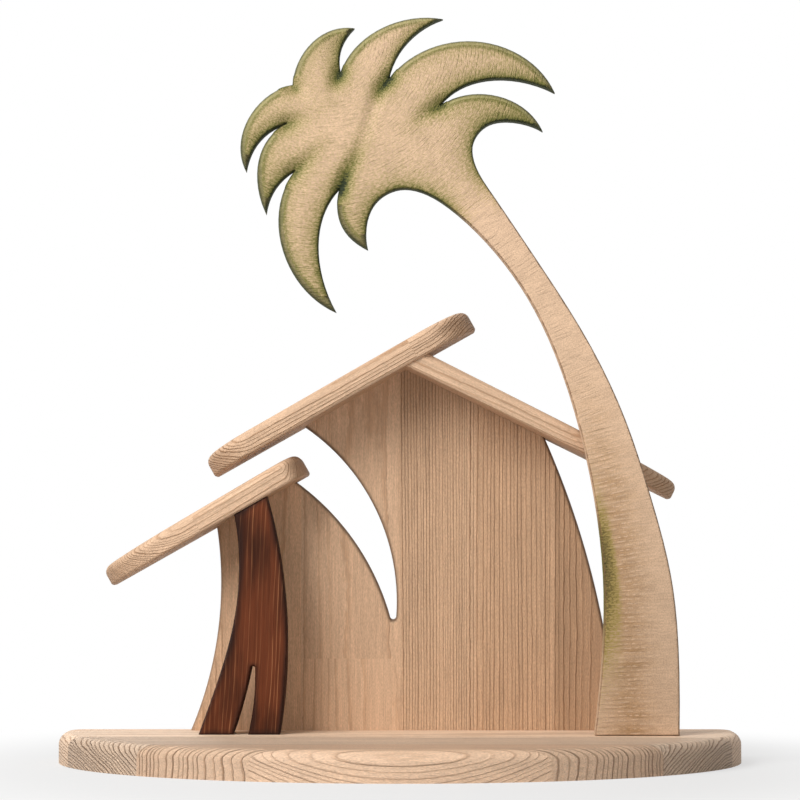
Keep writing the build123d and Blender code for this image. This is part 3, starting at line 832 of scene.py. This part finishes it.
def board_points(outline, step):
    """Points that fill an outline: the outline itself, divided, and then a triangular grid (rows half a
    step apart sideways). With the number of points on the outline, each point's distance from it and the
    outline's turn there."""
    rim = divided(outline, step)
    low, high = rim.min(axis=0), rim.max(axis=0)
    rows = np.arange(low[1], high[1], step * math.sqrt(3) / 2)
    columns = np.arange(low[0] - step, high[0] + step, step)
    x = columns + np.where(np.arange(len(rows)) % 2, step / 2, 0)[:, None]
    grid = np.stack([x, np.broadcast_to(rows[:, None], x.shape)], axis=-1).reshape(-1, 2)
    points = np.concatenate([rim, grid[inside(grid, outline)]])
    edge, side, share = nearest(points, outline, np.roll(outline, -1, axis=0))
    kept = (edge > RIM_SHARE * step) | (np.arange(len(points)) < len(rim))
    points, edge, side, share = points[kept], edge[kept], side[kept], share[kept]
    turn = turning(outline, TURN_REACH)
    turn = turn[side] * (1 - share) + np.roll(turn, -1)[side] * share
    return len(rim), points, edge, turn


def filled(points, count):
    """Triangles between points, within the loop of the first count of them, all wound to face the front."""
    here = np.arange(count)
    border = np.stack([here, np.roll(here, -1)], axis=1).tolist()
    made = delaunay_2d_cdt(points.tolist(), border, [], INSIDE_ONLY, MERGED)
    triangles = np.array(made[3]).reshape(-1)[np.array(made[2])]
    a, b, c = (points[triangles[:, i]] for i in range(3))
    area = (b - a)[:, 0] * (c - a)[:, 1] - (b - a)[:, 1] * (c - a)[:, 0]
    return np.where(area[:, None] > 0, triangles, triangles[:, ::-1])


def carved_board(name, node, step, carve):
    """Upright board with a carved front: its outline is filled with points, each point's depth behind the
    front plane comes from the carve function of X and Z, the distance from the outline and the outline's
    turn there, and straight sides and a flat back close it."""
    front, back = (corner.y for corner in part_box(node))
    count, points, edge, turn = board_points(back_outline(node), step)
    rim = points[:count]
    depth, values = carve(points, edge, turn)
    ahead = np.stack([points[:, 0] * MM, front + depth * MM, points[:, 1] * MM], axis=1)
    behind = np.stack([rim[:, 0] * MM, np.full(count, back), rim[:, 1] * MM], axis=1)
    here = np.arange(count)
    there = np.roll(here, -1)
    area = (rim[:, 0] * np.roll(rim[:, 1], -1) - np.roll(rim[:, 0], -1) * rim[:, 1]).sum()
    if area < 0:
        here, there = there, here
    total = len(points)
    sides = np.concatenate([np.stack([here, here + total, there + total], axis=1),
                            np.stack([here, there + total, there], axis=1)])
    triangles = np.concatenate([filled(points, count), sides, filled(rim, count)[:, ::-1] + total])
    mesh = bpy.data.meshes.new(name)
    mesh.from_pydata(np.concatenate([ahead, behind]).tolist(), [], triangles.tolist())
    for key, value in {"edge": edge * MM, **values}.items():
        layer = mesh.attributes.new(key, "FLOAT", "POINT")
        layer.data.foreach_set("value", np.concatenate([value, value[:count]]).astype(np.float32))
    mesh.polygons.foreach_set("use_smooth", np.ones(len(triangles), bool))
    mesh.set_sharp_from_angle(angle=SHARP)
    mesh.update()
    piece = bpy.data.objects.new(name, mesh)
    bpy.context.scene.collection.objects.link(piece)
    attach(piece, "root")
    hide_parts(node)
    return piece


def quarter_round(edge, radius):
    """Depth of a rounded front edge at a distance from the outline: a quarter circle of this radius."""
    inward = np.clip(radius - edge, 0, radius)
    return radius - np.sqrt(np.maximum(radius ** 2 - inward ** 2, 0))


def fade(value, low, high):
    """Smooth step from 0 at low to 1 at high."""
    share = np.clip((value - low) / (high - low), 0, 1)
    return share * share * (3 - 2 * share)


# Brushed waves across the post: radians per mm of X, then their sway in radians, with its own radians per
# mm of Z and its start
BRUSH_WAVES = ((2.1, 0.9, 0.045, 0), (3.7, 0.6, 0.07, 1))
# Half the depth of a brushed wave, and the distance from the outline at which the waves are full (mm)
BRUSH_DEPTH = 0.06
BRUSH_MARGIN = 2


def post_carving(post):
    """The post's carve function, for its easing."""
    def carve(points, edge, turn):
        """Eased edge, and shallow brushed waves along the upright grain."""
        x, z = points.T
        waves = [np.sin(x * wide + sway * np.sin(z * slow + start))
                 for wide, sway, slow, start in BRUSH_WAVES]
        brushed = BRUSH_DEPTH * (len(waves) - sum(waves)) * fade(edge, 0, BRUSH_MARGIN)
        return quarter_round(edge, post.easing / MM) + brushed, {}
    return carve


# How far a stave's foot, seams and roofed sides may be off their lines, and the least length of a seam (mm)
FOOT_TOLERANCE = 0.1
SEAM_TOLERANCE = 0.01
ROOF_TOLERANCE = 0.6
SEAM_LENGTH = 30


def sawn_sides(outline):
    """Which sides of a wall stave's outline were sawn to shape: all but its foot, its upright seams and
    the sides along the roof boards' undersides."""
    ends = np.roll(outline, -1, axis=0)
    across, upward = np.abs(ends - outline).T
    foot = np.maximum(outline[:, 1], ends[:, 1]) < outline[:, 1].min() + FOOT_TOLERANCE
    seam = (across < SEAM_TOLERANCE) & (upward > SEAM_LENGTH)
    roofed = np.zeros(len(outline), bool)
    for peak, run in ((RIDGE, LEFT_RUN), (RIDGE, RIGHT_RUN), (LOW_PEAK, LEFT_RUN)):
        rises = [(points - (peak.x, peak.z)) @ (-run.z, run.x) for points in (outline, ends)]
        roofed |= np.abs(rises).max(axis=0) < ROOF_TOLERANCE
    return ~(foot | seam | roofed)


def stave_carving(node, timber):
    """A wall stave's carve function, for its outline and easing."""
    outline = back_outline(node)
    sawn = sawn_sides(outline)
    starts, ends = outline[sawn], np.roll(outline, -1, axis=0)[sawn]

    def carve(points, edge, turn):
        """Eased front edge along the sawn sides alone, by the distance from them."""
        gap, _, _ = nearest(points, starts, ends)
        return quarter_round(gap, timber.easing / MM), {"edge": gap * MM}
    return carve


# Valleys: half their width at the rim, how much narrower their inner end is, reaches of their green and
# of its dark core (mm), and strengths of the green inside and of the core
VALLEY_WIDTH = 8.0
VALLEY_NARROWING = 2.0
VALLEY_SPRAY = 5.5
VALLEY_CORE = 2.2
VALLEY_GREEN = 0.3
CORE_GREEN = 0.5


def valley_shares(points):
    """How deep each point lies in the valleys, how strong the green of the nearest valley is there, and
    how far that green takes the place of the leaf's own. Depth and green fade along a valley towards its
    inner end; depth fades sideways, the green gives way by the square of the distance, and a narrow core
    at the rim's end is darker."""
    hollow, green, weights = (np.zeros(len(points)) for _ in range(3))
    for line, last, rim, reach in zip(VALLEYS, VALLEY_ENDS, VALLEY_GREENS, VALLEY_REACHES):
        gap, _, along, _ = stations(points, [line])
        inner = along / full_lengths([line])
        across = 1 - fade(gap, 0, VALLEY_WIDTH - VALLEY_NARROWING * inner)
        hollow = np.maximum(hollow, (1 - (1 - last) * fade(inner, 0.0, 1.0)) * across)
        weight = np.exp(-(gap / VALLEY_SPRAY) ** 2)
        core = CORE_GREEN * np.exp(-(gap / VALLEY_CORE) ** 2) * (1 - fade(inner, 0.05, 0.5))
        strength = VALLEY_GREEN + (rim - VALLEY_GREEN) * (1 - fade(inner, 0.1, reach))
        green = green + weight * (strength + rim * core)
        weights = weights + weight
    return hollow, green / np.maximum(weights, TINY), np.minimum(weights, 1)


# Where the trunk takes over from the crown: lengths along its middle line and distances from it (mm)
TRUNK_START = (4, 46)
TRUNK_SIDE = (26, 46)
# Turns of the outline between which a rim comes to count as bulging (radians)
BULGE_TURN = (0.02, 0.12)
# Step inside a bulging rim and where it ends, from the end of the rounding; swelling of the leaves and its
# reach, and the deepest carving (mm)
RIM_STEP = 0.3
RIM_STEP_END = (-0.6, 0.4)
SWELLING = 1.8
SWELLING_REACH = 8
DEEPEST = 7.5
# Strengths of the green: all over a leaf, more at its tip, at every rim, at bulging and hollow rims, and
# in the thin dark line of hollow ones
LEAF_GREEN = 0.20
TIP_GREEN = 0.14
RIM_GREEN = 0.27
BULGE_GREEN = 0.26
HOLLOW_GREEN = 0.35
LINE_GREEN = 0.4
# Reaches of the green from the rims, from hollow rims, and of that line (mm)
RIM_REACH = 6.0
HOLLOW_REACH = 5.0
LINE_REACH = 1.4
# Green patch on the trunk: its strength, its middle height, its reaches up, down and inwards, and how far
# left of the trunk's middle line it is full (mm)
MOSS_GREEN = 1.16
MOSS_HEIGHT = 122
MOSS_UP = 35
MOSS_DOWN = 60
MOSS_REACH = 12.0
MOSS_LEFT = 6
# Glaze on the trunk: lengths along it between which it comes, and half its width (mm)
GLAZE_START = (120, 250)
GLAZE_WIDTH = 13
# Tool marks: point that they ring on the crown, width of a radian round it, and their start and
# spacing on the trunk, which let the two meet (mm)
MARK_X, MARK_Z = -45, 440
MARK_RADIAN = 90
MARK_OFFSET = 111
MARK_SHARE = 0.9
# Strengths of the tool marks on the trunk, at the crown's middle and at the leaves' tips, the share that
# is lost on the trunk's right, and where that comes, right of its middle line (mm)
TRUNK_MARKS = 0.5
CROWN_MARKS = 0.45
TIP_MARKS = 1.0
MARKS_LOST_SHARE = 0.9
MARKS_LOST = (5, 13)


def leaf_green(edge, tip, leaf, bulge, crown):
    """Green of the leaves, which gathers at their tips and rims, and most along hollow rims."""
    rim = np.exp(-edge / RIM_REACH)
    spray = crown * (LEAF_GREEN + TIP_GREEN * tip ** 2 + RIM_GREEN * rim)
    spray = spray + crown * np.array(LEAF_GREENS)[leaf] * fade(tip, 0.1, 0.5)
    spray = spray + crown * bulge * BULGE_GREEN * rim
    hollow = HOLLOW_GREEN * np.exp(-edge / HOLLOW_REACH) + LINE_GREEN * np.exp(-edge / LINE_REACH)
    return spray + crown * (1 - bulge) * hollow


def trunk_moss(x, z, edge, middle):
    """Green patch on the trunk, which fades from its height up, down and inwards from the left edge."""
    above = (z - MOSS_HEIGHT) / np.where(z > MOSS_HEIGHT, MOSS_UP, MOSS_DOWN)
    return np.exp(-above ** 2) * np.exp(-edge / MOSS_REACH) * fade(middle - x, 0, MOSS_LEFT)


def palm_carving(palm):
    """The palm's carve function, for its roundings and valleys."""
    def carve(points, edge, turn):
        """Leaves swell like pillows from a rounded rim with a small step inside it, the trunk is flatter,
        and a valley is a trough that narrows and fades from the rim inwards. Green gathers at hollow
        rims, leaf tips and valleys, and in one patch on the trunk's left edge. Tool marks are rings
        round a point at the top of the crown, and square to the trunk further down."""
        x, z = points.T
        away, _, down, middle = stations(points, [TRUNK_RIB])
        trunk = fade(down, *TRUNK_START) * (1 - fade(away, *TRUNK_SIDE))
        crown = 1 - trunk
        _, leaf, along, _ = stations(points, LEAF_RIBS)
        tip = along / full_lengths(LEAF_RIBS)[leaf]
        hollow, sprayed, taken = valley_shares(points)
        bulge = fade(turn, *BULGE_TURN) * crown
        rounding = (palm.trunk_rounding + (palm.leaf_rounding - palm.trunk_rounding) * bulge) / MM
        step = RIM_STEP * bulge * (1 - fade(edge - rounding, *RIM_STEP_END))
        pillow = SWELLING * crown * np.exp(-edge / SWELLING_REACH)
        depth = quarter_round(edge, rounding) + step + pillow + hollow * palm.valley_depth / MM
        spray = leaf_green(edge, tip, leaf, bulge, crown)
        spray = spray + crown * taken * (sprayed - spray)
        strokes = np.hypot(x - MARK_X, z - MARK_Z) * crown + (MARK_SHARE * down + MARK_OFFSET) * trunk
        across = MARK_RADIAN * np.arctan2(x - MARK_X, MARK_Z - z) * crown + (x - middle) * trunk
        trunk_marks = TRUNK_MARKS * trunk * (1 - MARKS_LOST_SHARE * fade(x - middle, *MARKS_LOST))
        crown_marks = CROWN_MARKS + (TIP_MARKS - CROWN_MARKS) * fade(tip, 0.25, 0.7)
        return np.minimum(depth, DEEPEST), {
            "along": strokes * MM,
            "across": across * MM,
            "green": spray + MOSS_GREEN * trunk_moss(x, z, edge, middle) * trunk,
            "glaze": fade(down, *GLAZE_START) * np.exp(-((x - middle) / GLAZE_WIDTH) ** 2) * trunk,
            "marks": trunk_marks + crown * crown_marks,
            "bulge": bulge,
            "crown": crown,
        }
    return carve


def dress_boards(context, prefix):
    """Softwood of its own for every board whose name starts with the prefix."""
    chosen = [node for node in BOARDS if node.startswith(prefix)]
    if not chosen:
        raise RuntimeError(f"no board is named {prefix}")
    for node in chosen:
        dress(node, brushed_softwood(node, context.scene.stable_timber, BOARDS[node]))


class Lamp(NamedTuple):
    """A square lamp: the width of its face, its place, and the point that it shines at (m)."""
    width: float
    place: Vector
    target: Vector


KEY_LAMP = Lamp(1.25, Vector((-1.2, -1.08, 1.27)), Vector((0, 0.03, 0.2)))
FILL_LAMP = Lamp(1.2, Vector((1.3, -1.5, 0.75)), Vector((0, 0.03, 0.18)))
BACK_LAMP = Lamp(1.2, Vector((-0.3, 1.5, 1.7)), Vector((0, 0.03, 0.18)))
# Half the floor's width, distances from the middle between which it turns white (m), and its whiteness
# near the middle
FLOOR_REACH = 6.0
FLOOR_FADE = (0.18, 0.40)
FLOOR_WHITE = 0.6
WHITE = (1, 1, 1, 1)
# Width of the camera's sensor (mm)
SENSOR_WIDTH = 36


def set_floor(stage):
    """Flat square floor; beyond the object it fades to plain white for the camera."""
    reach = np.array([[-1, -1], [1, -1], [1, 1], [-1, 1]]) * FLOOR_REACH
    mesh = bpy.data.meshes.new("floor")
    mesh.from_pydata(np.column_stack([reach, np.zeros(4)]).tolist(), [], [[0, 1, 2, 3]])
    floor = bpy.data.objects.new("floor", mesh)
    bpy.context.scene.collection.objects.link(floor)
    paint = Grain("floor_paint")
    far = paint.soft(paint.vector("LENGTH", paint.place), *FLOOR_FADE, FLOOR_WHITE, 1.0)
    light = paint.add("LightPath")
    seen = paint.math("MAXIMUM", light.outputs["Is Camera Ray"], light.outputs["Is Glossy Ray"])
    seen = paint.math("MAXIMUM", seen, light.outputs["Is Transmission Ray"])
    matt = paint.add("BsdfDiffuse", {"Color": opaque(stage.floor_colour)})
    white = paint.add("Emission", {"Color": WHITE, "Strength": 1.0})
    shares = {0: paint.times(far, seen), 1: matt.outputs[0], 2: white.outputs[0]}
    mixed = paint.add("MixShader", shares)
    paint.add("OutputMaterial", {"Surface": mixed.outputs[0]})
    mesh.materials.append(paint.material)


def set_room(scene, stage):
    """Even, slightly warm light from all round; the camera sees plain white."""
    world = bpy.data.worlds.new("room")
    world.use_nodes = True
    nodes, links = world.node_tree.nodes, world.node_tree.links
    nodes.clear()
    path, out = nodes.new("ShaderNodeLightPath"), nodes.new("ShaderNodeOutputWorld")
    room, white = nodes.new("ShaderNodeBackground"), nodes.new("ShaderNodeBackground")
    room.inputs["Color"].default_value = opaque(stage.sky_colour)
    room.inputs["Strength"].default_value = stage.sky
    white.inputs["Color"].default_value = WHITE
    white.inputs["Strength"].default_value = 1.0
    seen, clear = nodes.new("ShaderNodeMath"), nodes.new("ShaderNodeMath")
    mix = nodes.new("ShaderNodeMixShader")
    seen.operation = clear.operation = "MAXIMUM"
    links.new(path.outputs["Is Camera Ray"], seen.inputs[0])
    links.new(path.outputs["Is Glossy Ray"], seen.inputs[1])
    links.new(seen.outputs[0], clear.inputs[0])
    links.new(path.outputs["Is Transmission Ray"], clear.inputs[1])
    links.new(clear.outputs[0], mix.inputs[0])
    links.new(room.outputs[0], mix.inputs[1])
    links.new(white.outputs[0], mix.inputs[2])
    links.new(mix.outputs[0], out.inputs["Surface"])
    scene.world = world


def set_lamp(name, power, lamp):
    """Square lamp at its place, turned to its target."""
    light = bpy.data.lights.new(name, "AREA")
    light.energy, light.size = power, lamp.width
    holder = bpy.data.objects.new(name, light)
    holder.location = lamp.place
    holder.rotation_euler = (lamp.target - lamp.place).to_track_quat("-Z", "Y").to_euler()
    bpy.context.scene.collection.objects.link(holder)


def set_camera(scene, stage):
    """Camera in front of the middle, a little above the floor, looking slightly up."""
    data = bpy.data.cameras.new("camera")
    data.sensor_width, data.lens = SENSOR_WIDTH, stage.camera_lens
    camera = bpy.data.objects.new("camera", data)
    camera.location = (0, -stage.camera_distance, stage.camera_height)
    camera.rotation_euler = (math.pi / 2 + stage.camera_tilt, 0, 0)
    scene.collection.objects.link(camera)
    scene.camera = camera


class STABLE_OT_base(bpy.types.Operator):
    """Brushed softwood on the five lamellas of the bowed base"""
    bl_idname = "stable.dress_base"
    bl_label = "Dress the base"

    def execute(self, context):
        dress_boards(context, "base_")
        return {"FINISHED"}


class STABLE_OT_wall(bpy.types.Operator):
    """Brushed softwood on the upright staves of the rear wall, with eased edges where they are sawn"""
    bl_idname = "stable.dress_wall"
    bl_label = "Dress the wall"

    def execute(self, context):
        dress_boards(context, "wall_")
        timber = context.scene.stable_timber
        for node in SAWN_STAVES:
            piece = carved_board(f"eased_{node}", node, FINE_GRID, stave_carving(node, timber))
            piece.data.materials.append(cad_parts[node].material_slots[0].material)
        return {"FINISHED"}


class STABLE_OT_roofs(bpy.types.Operator):
    """Brushed softwood on the three sloped roof boards"""
    bl_idname = "stable.dress_roofs"
    bl_label = "Dress the roof boards"

    def execute(self, context):
        for board in ("long_roof_board", "short_roof_board", "lean_to_board"):
            dress_boards(context, board)
        return {"FINISHED"}


class STABLE_OT_fixings(bpy.types.Operator):
    """Zinc on the screws and beech on the dowels"""
    bl_idname = "stable.dress_fixings"
    bl_label = "Dress screws and dowels"

    def execute(self, context):
        fixings = context.scene.stable_fixings
        steel, beech = zinc_steel(fixings), plain_beech(fixings)
        for node in SCREWS:
            dress(node, steel)
        for node in DOWELS:
            dress(node, beech)
        return {"FINISHED"}


class STABLE_OT_post(bpy.types.Operator):
    """Forked post with eased edges and dark stain"""
    bl_idname = "stable.make_post"
    bl_label = "Make the post"

    def execute(self, context):
        post = context.scene.stable_post
        piece = carved_board("stained_post", "forked_post", POST_GRID, post_carving(post))
        material = stained_wood(post)
        piece.data.materials.append(material)
        dress("forked_post", material)
        return {"FINISHED"}


class STABLE_OT_palm(bpy.types.Operator):
    """Palm tree with carved, airbrushed leaves"""
    bl_idname = "stable.make_palm"
    bl_label = "Make the palm"

    def execute(self, context):
        palm = context.scene.stable_palm
        piece = carved_board("carved_palm", "palm_tree", FINE_GRID, palm_carving(palm))
        material = carved_palm(palm)
        piece.data.materials.append(material)
        dress("palm_tree", material)
        return {"FINISHED"}


class STABLE_OT_stage(bpy.types.Operator):
    """Plain floor, soft lamps, even room light and the camera"""
    bl_idname = "stable.set_stage"
    bl_label = "Set the stage"

    def execute(self, context):
        stage = context.scene.stable_stage
        set_floor(stage)
        set_room(context.scene, stage)
        set_lamp("key_lamp", stage.key_power, KEY_LAMP)
        set_lamp("fill_lamp", stage.fill_power, FILL_LAMP)
        set_lamp("back_lamp", stage.back_power, BACK_LAMP)
        set_camera(context.scene, stage)
        context.scene.view_settings.view_transform = "Standard"
        return {"FINISHED"}


OPERATORS = (
    STABLE_OT_base, STABLE_OT_wall, STABLE_OT_roofs, STABLE_OT_fixings, STABLE_OT_post, STABLE_OT_palm,
    STABLE_OT_stage,
)
SETTINGS = {
    "stable_timber": StableTimber,
    "stable_post": StablePost,
    "stable_palm": StablePalm,
    "stable_fixings": StableFixings,
    "stable_stage": StableStage,
}


class STABLE_PT_panel(bpy.types.Panel):
    """Lists the stable's settings and the steps that dress it"""
    bl_idname = "STABLE_PT_panel"
    bl_label = "Nativity Stable"
    bl_space_type = "VIEW_3D"
    bl_region_type = "UI"
    bl_category = "Stable"

    def draw(self, context):
        for key, group in SETTINGS.items():
            box = self.layout.box()
            for setting in group.__annotations__:
                box.prop(getattr(context.scene, key), setting)
        for operator in OPERATORS:
            self.layout.operator(operator.bl_idname)


def register():
    for group in SETTINGS.values():
        bpy.utils.register_class(group)
    for key, group in SETTINGS.items():
        setattr(bpy.types.Scene, key, bpy.props.PointerProperty(type=group))
    for cls in (*OPERATORS, STABLE_PT_panel):
        bpy.utils.register_class(cls)


def unregister():
    for cls in (STABLE_PT_panel, *reversed(OPERATORS)):
        bpy.utils.unregister_class(cls)
    for key in SETTINGS:
        delattr(bpy.types.Scene, key)
    for group in SETTINGS.values():
        bpy.utils.unregister_class(group)


def main():
    register()
    bpy.ops.stable.dress_base()
    bpy.ops.stable.dress_wall()
    bpy.ops.stable.dress_roofs()
    bpy.ops.stable.dress_fixings()
    bpy.ops.stable.make_post()
    bpy.ops.stable.make_palm()
    bpy.ops.stable.set_stage()


if __name__ == "__main__":
    main()
